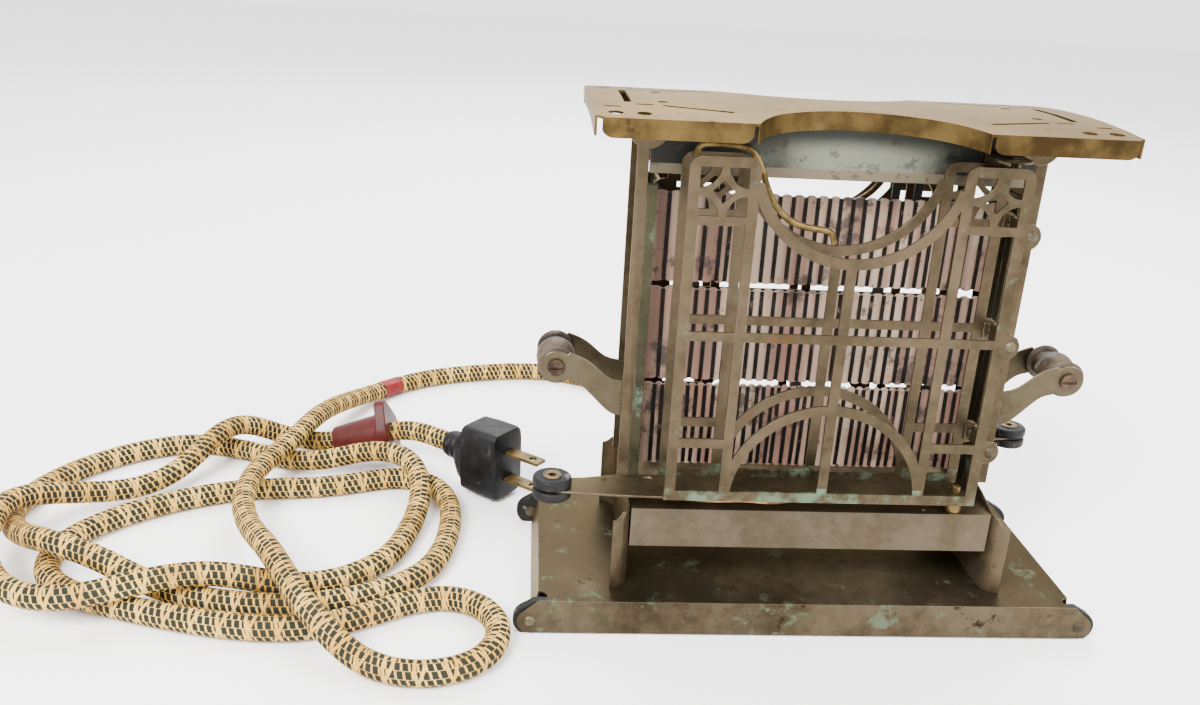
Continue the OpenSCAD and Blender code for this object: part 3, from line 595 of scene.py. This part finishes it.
BASKET_SHEETS = ("outer_panel", "inner_panel", "straps", "hinge_plate")
for basket in ("front", "rear"):
    body = basket + "_basket"
    for part in BASKET_SHEETS:
        dressed(f"{basket}_{part}", body, SHEETS["panel"], EDGE, 0.18)
    dressed(f"{basket}_tray", body, SHEETS["lever"], EDGE, 0.15)
    dressed(f"{basket}_knob", body, BLACK, None, 0.1, 2, 60)
    dressed(f"{basket}_knob_eyelet", body, BRASS, None, 0.1, 2, 60)
    dressed(f"{basket}_strap_rivets", body, DULL, None, 0.15, 2, 35)

for node, slot, material, width in [
    ("base_feet", "black_fibre", BLACK, 0.4),
    ("foot_eyelets", "brass", DULL, 0.15),
    ("terminal_block", "ceramic", CERAMIC, 0.5),
    ("terminal_screws", "brass", BRASS, 0.2),
    ("lower_pivots", "brass", BRASS, 0.15),
    ("grip_left", "umber_wood", WOOD, 0.2),
    ("grip_right", "umber_wood", WOOD, 0.2),
    ("handle_screw_left", "dark_screw", SCREW, 0.25),
    ("handle_screw_right", "dark_screw", SCREW, 0.25),
    ("card_hangers", "heating_ribbon", RIBBON, 0.1),
    ("cord_gland", "black_rubber", RUBBER, 0.6),
    ("plug_blades", "brass", BRASS, 0.25),
]:
    body = {"grip_left": "left_grip", "grip_right": "right_grip"}.get(node, "frame")
    dressed(node, body, material, None, width, 3)
painted("detent_springs", COPPER)
painted("cord_tape", TAPE)


# Heater ---------------------------------------------------------------------------------


def outline_solid(outline, y_low, y_high):
    """A flat piece drawn in X and Z, from y_low to y_high."""
    bm = bmesh.new()
    front = [bm.verts.new((x, y_low, z)) for x, z in outline]
    back = [bm.verts.new((x, y_high, z)) for x, z in outline]
    bm.faces.new(front)
    bm.faces.new(back[::-1])
    for i in range(len(outline)):
        j = (i + 1) % len(outline)
        bm.faces.new((front[j], front[i], back[i], back[j]))
    bmesh.ops.recalc_face_normals(bm, faces=bm.faces)
    mesh = bpy.data.meshes.new("flat")
    bm.to_mesh(mesh)
    bm.free()
    return mesh


SCALLOP_STEPS = 5
SCALLOP_DEPTH = 1.1 * MM
# Bare mica beyond the first and last turn of a ribbon
CARD_EDGE = 3.6 * MM
RIBBON_HALF = 0.72 * MM
RIBBON_THICK = 0.2 * MM
RIBBON_BOW = 0.25 * MM
RIBBON_ROWS = 7
# Share of the turns that have slipped sideways
SLIPPED = 0.10


def card_and_ribbon(which, turns):
    """A mica card whose long edges are scalloped between the ribbon's turns, and the ribbon."""
    low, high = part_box(f"mica_card_{which}")
    pitch = (high.x - low.x - 2 * CARD_EDGE) / turns
    starts = [low.x + CARD_EDGE + (k + 0.5) * pitch for k in range(turns)]
    starts = [low.x] + starts + [high.x]

    def scallops(z, out):
        points = []
        for a, b in zip(starts, starts[1:]):
            depth = SCALLOP_DEPTH * random.uniform(0.7, 1.0)
            for k in range(SCALLOP_STEPS + 1):
                share = k / SCALLOP_STEPS
                rise = math.sin(math.pi * share) ** 0.5 if 0 < share < 1 else 0.0
                x = a + (b - a) * (0.04 + 0.92 * share)
                points.append((x, z - out * depth * (1 - rise)))
        return points

    outline = scallops(low.z, -1) + scallops(high.z, 1)[::-1]
    card = new_piece(f"mica_{which}", outline_solid(outline, low.y, high.y), "frame", MICA)
    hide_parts(f"mica_card_{which}")

    ribbon_low, ribbon_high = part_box(f"ribbon_{which}")
    bm = bmesh.new()
    for x in starts[1:-1]:
        slip = random.uniform(-0.35, 0.35) * MM
        lean = random.uniform(-0.4, 0.4) * MM
        if random.random() < SLIPPED:
            slip += random.choice((-1, 1)) * 0.3 * pitch
        loop = []
        for k in range(RIBBON_ROWS):
            share = k / (RIBBON_ROWS - 1)
            z = ribbon_low.z + (ribbon_high.z - ribbon_low.z) * share
            bow = RIBBON_BOW * math.sin(math.pi * share)
            loop.append((x + slip + lean * (share - 0.5), ribbon_low.y + RIBBON_BOW - bow, z))
        for k in range(RIBBON_ROWS):
            share = 1 - k / (RIBBON_ROWS - 1)
            z = ribbon_low.z + (ribbon_high.z - ribbon_low.z) * share
            loop.append((x - slip - lean * (share - 0.5), ribbon_high.y - RIBBON_BOW, z))
        rails = [
            [bm.verts.new((px + s * RIBBON_HALF, py, pz)) for px, py, pz in loop] for s in (-1, 1)
        ]
        for k in range(len(loop)):
            j = (k + 1) % len(loop)
            bm.faces.new((rails[0][k], rails[0][j], rails[1][j], rails[1][k]))
    mesh = bpy.data.meshes.new("ribbon")
    bm.to_mesh(mesh)
    bm.free()
    ribbon = new_piece(f"wound_ribbon_{which}", mesh, "frame", RIBBON)
    thick = ribbon.modifiers.new("thickness", "SOLIDIFY")
    thick.thickness = RIBBON_THICK
    thick.offset = -1
    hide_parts(f"ribbon_{which}")


for which, turns in (("top", 27), ("middle", 29), ("bottom", 37)):
    card_and_ribbon(which, turns)


# Bread wires ------------------------------------------------------------------------------

WIRE_R = 1.15 * MM
WIRE_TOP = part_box("front_bread_wire")[1].z - WIRE_R
WIRE_ROUTE = [
    (-0.052, -0.0192, WIRE_TOP - 0.0048), (-0.0515, -0.0196, WIRE_TOP - 0.0008),
    (-0.047, -0.0216, WIRE_TOP - 0.0002), (-0.041, -0.0234, WIRE_TOP),
    (-0.035, -0.024, WIRE_TOP - 0.0005),
    (-0.0312, -0.024, 0.1694), (-0.0286, -0.0236, 0.1615), (-0.0244, -0.0228, 0.1544),
    (-0.0188, -0.0218, 0.1496), (-0.0126, -0.0208, 0.1476), (-0.007, -0.02, 0.147),
    (-0.003, -0.0193, 0.146), (-0.002, -0.0192, 0.1422),
]
for basket, sign in (("front", 1), ("rear", -1)):
    route = [(sign * x, sign * y, z) for x, y, z in WIRE_ROUTE]
    tube = sweep(spline(route, 8), WIRE_R, 16)
    wire = new_piece(f"{basket}_wire", tube, f"{basket}_basket", BRASS)
    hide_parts(f"{basket}_bread_wire")


# Plug and finger grip ---------------------------------------------------------------------

PLUG_TURN = math.radians(-38)
PLUG_SIDES = 40


def plug_body():
    """A moulded rubber plug: a ribbed neck that widens to a deep block with soft corners."""
    # Place along the plug, half width and half height in mm, and 1 for round to 0 for square
    sections = [
        (-0.5, 5.6, 5.6, 1.0), (2.0, 6.3, 6.3, 1.0), (3.2, 5.8, 5.8, 1.0), (5.0, 6.5, 6.5, 1.0),
        (6.3, 6.0, 6.0, 1.0), (8.0, 7.4, 8.6, 0.6), (11.0, 8.8, 11.6, 0.3),
        (13.2, 9.0, 12.4, 0.15), (14.2, 9.9, 15.4, 0.1), (22.0, 10.0, 15.9, 0.08),
        (31.6, 10.0, 15.9, 0.08), (33.2, 9.7, 15.6, 0.12), (34.0, 8.8, 14.6, 0.2),
    ]
    bm = bmesh.new()
    rings = []
    at = Matrix.Translation(Vector(CORD_ROUTE[-1])) @ Matrix.Rotation(PLUG_TURN, 4, "Z")
    for x, half_y, half_z, roundness in sections:
        ring = []
        power = 0.22 + 0.78 * roundness
        for k in range(PLUG_SIDES):
            a = 2 * math.pi * k / PLUG_SIDES
            cy = math.copysign(abs(math.cos(a)) ** power, math.cos(a))
            cz = math.copysign(abs(math.sin(a)) ** power, math.sin(a))
            ring.append(bm.verts.new(at @ Vector((x * MM, half_y * MM * cy, half_z * MM * cz))))
        rings.append(ring)
    for one, two in zip(rings, rings[1:]):
        for k in range(PLUG_SIDES):
            j = (k + 1) % PLUG_SIDES
            bm.faces.new((one[k], one[j], two[j], two[k]))
    bm.faces.new(rings[0][::-1])
    bm.faces.new(rings[-1])
    bmesh.ops.recalc_face_normals(bm, faces=bm.faces)
    mesh = bpy.data.meshes.new("plug")
    bm.to_mesh(mesh)
    bm.free()
    smooth(mesh, 40)
    return mesh


plug_piece = new_piece("rubber_plug", plug_body(), "frame", RUBBER)
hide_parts("plug_body")
grip_piece = dressed("cord_grip", "frame", MAROON, None, 1.2, 3, 25)

length_of(cord_path)


# Stage ------------------------------------------------------------------------------------


FLOOR_SIZE = 8
FLOOR_DROP = 0.0002
WORLD_STRENGTH = 2.3


def add_floor():
    bpy.ops.mesh.primitive_plane_add(size=FLOOR_SIZE, location=(0, 0, -FLOOR_DROP))
    floor = bpy.context.object
    floor.name = "floor"
    s = Surface("pale_floor", 0.0, 0.6)
    s.color((0.96, 0.955, 0.95))
    floor.data.materials.append(s.material)


def add_light(name, place, aim, size, watts):
    data = bpy.data.lights.new(name, "AREA")
    data.shape = "SQUARE"
    data.size = size
    data.energy = watts
    lamp = bpy.data.objects.new(name, data)
    lamp.location = place
    lamp.rotation_euler = (Vector(aim) - Vector(place)).to_track_quat("-Z", "Y").to_euler()
    bpy.context.scene.collection.objects.link(lamp)


def add_world():
    world = bpy.data.worlds.new("studio")
    world.use_nodes = True
    background = world.node_tree.nodes["Background"]
    background.inputs[0].default_value = (1.0, 1.0, 1.0, 1.0)
    background.inputs[1].default_value = WORLD_STRENGTH
    bpy.context.scene.world = world


add_floor()
add_world()
add_light("key", (-0.7, -0.9, 1.1), (-0.05, 0, 0.08), 0.6, 60)
add_light("fill", (0.9, -0.7, 0.7), (0.0, 0, 0.08), 0.9, 26)
add_light("back", (0.1, 1.0, 1.2), (-0.05, 0.05, 0.05), 1.0, 34)
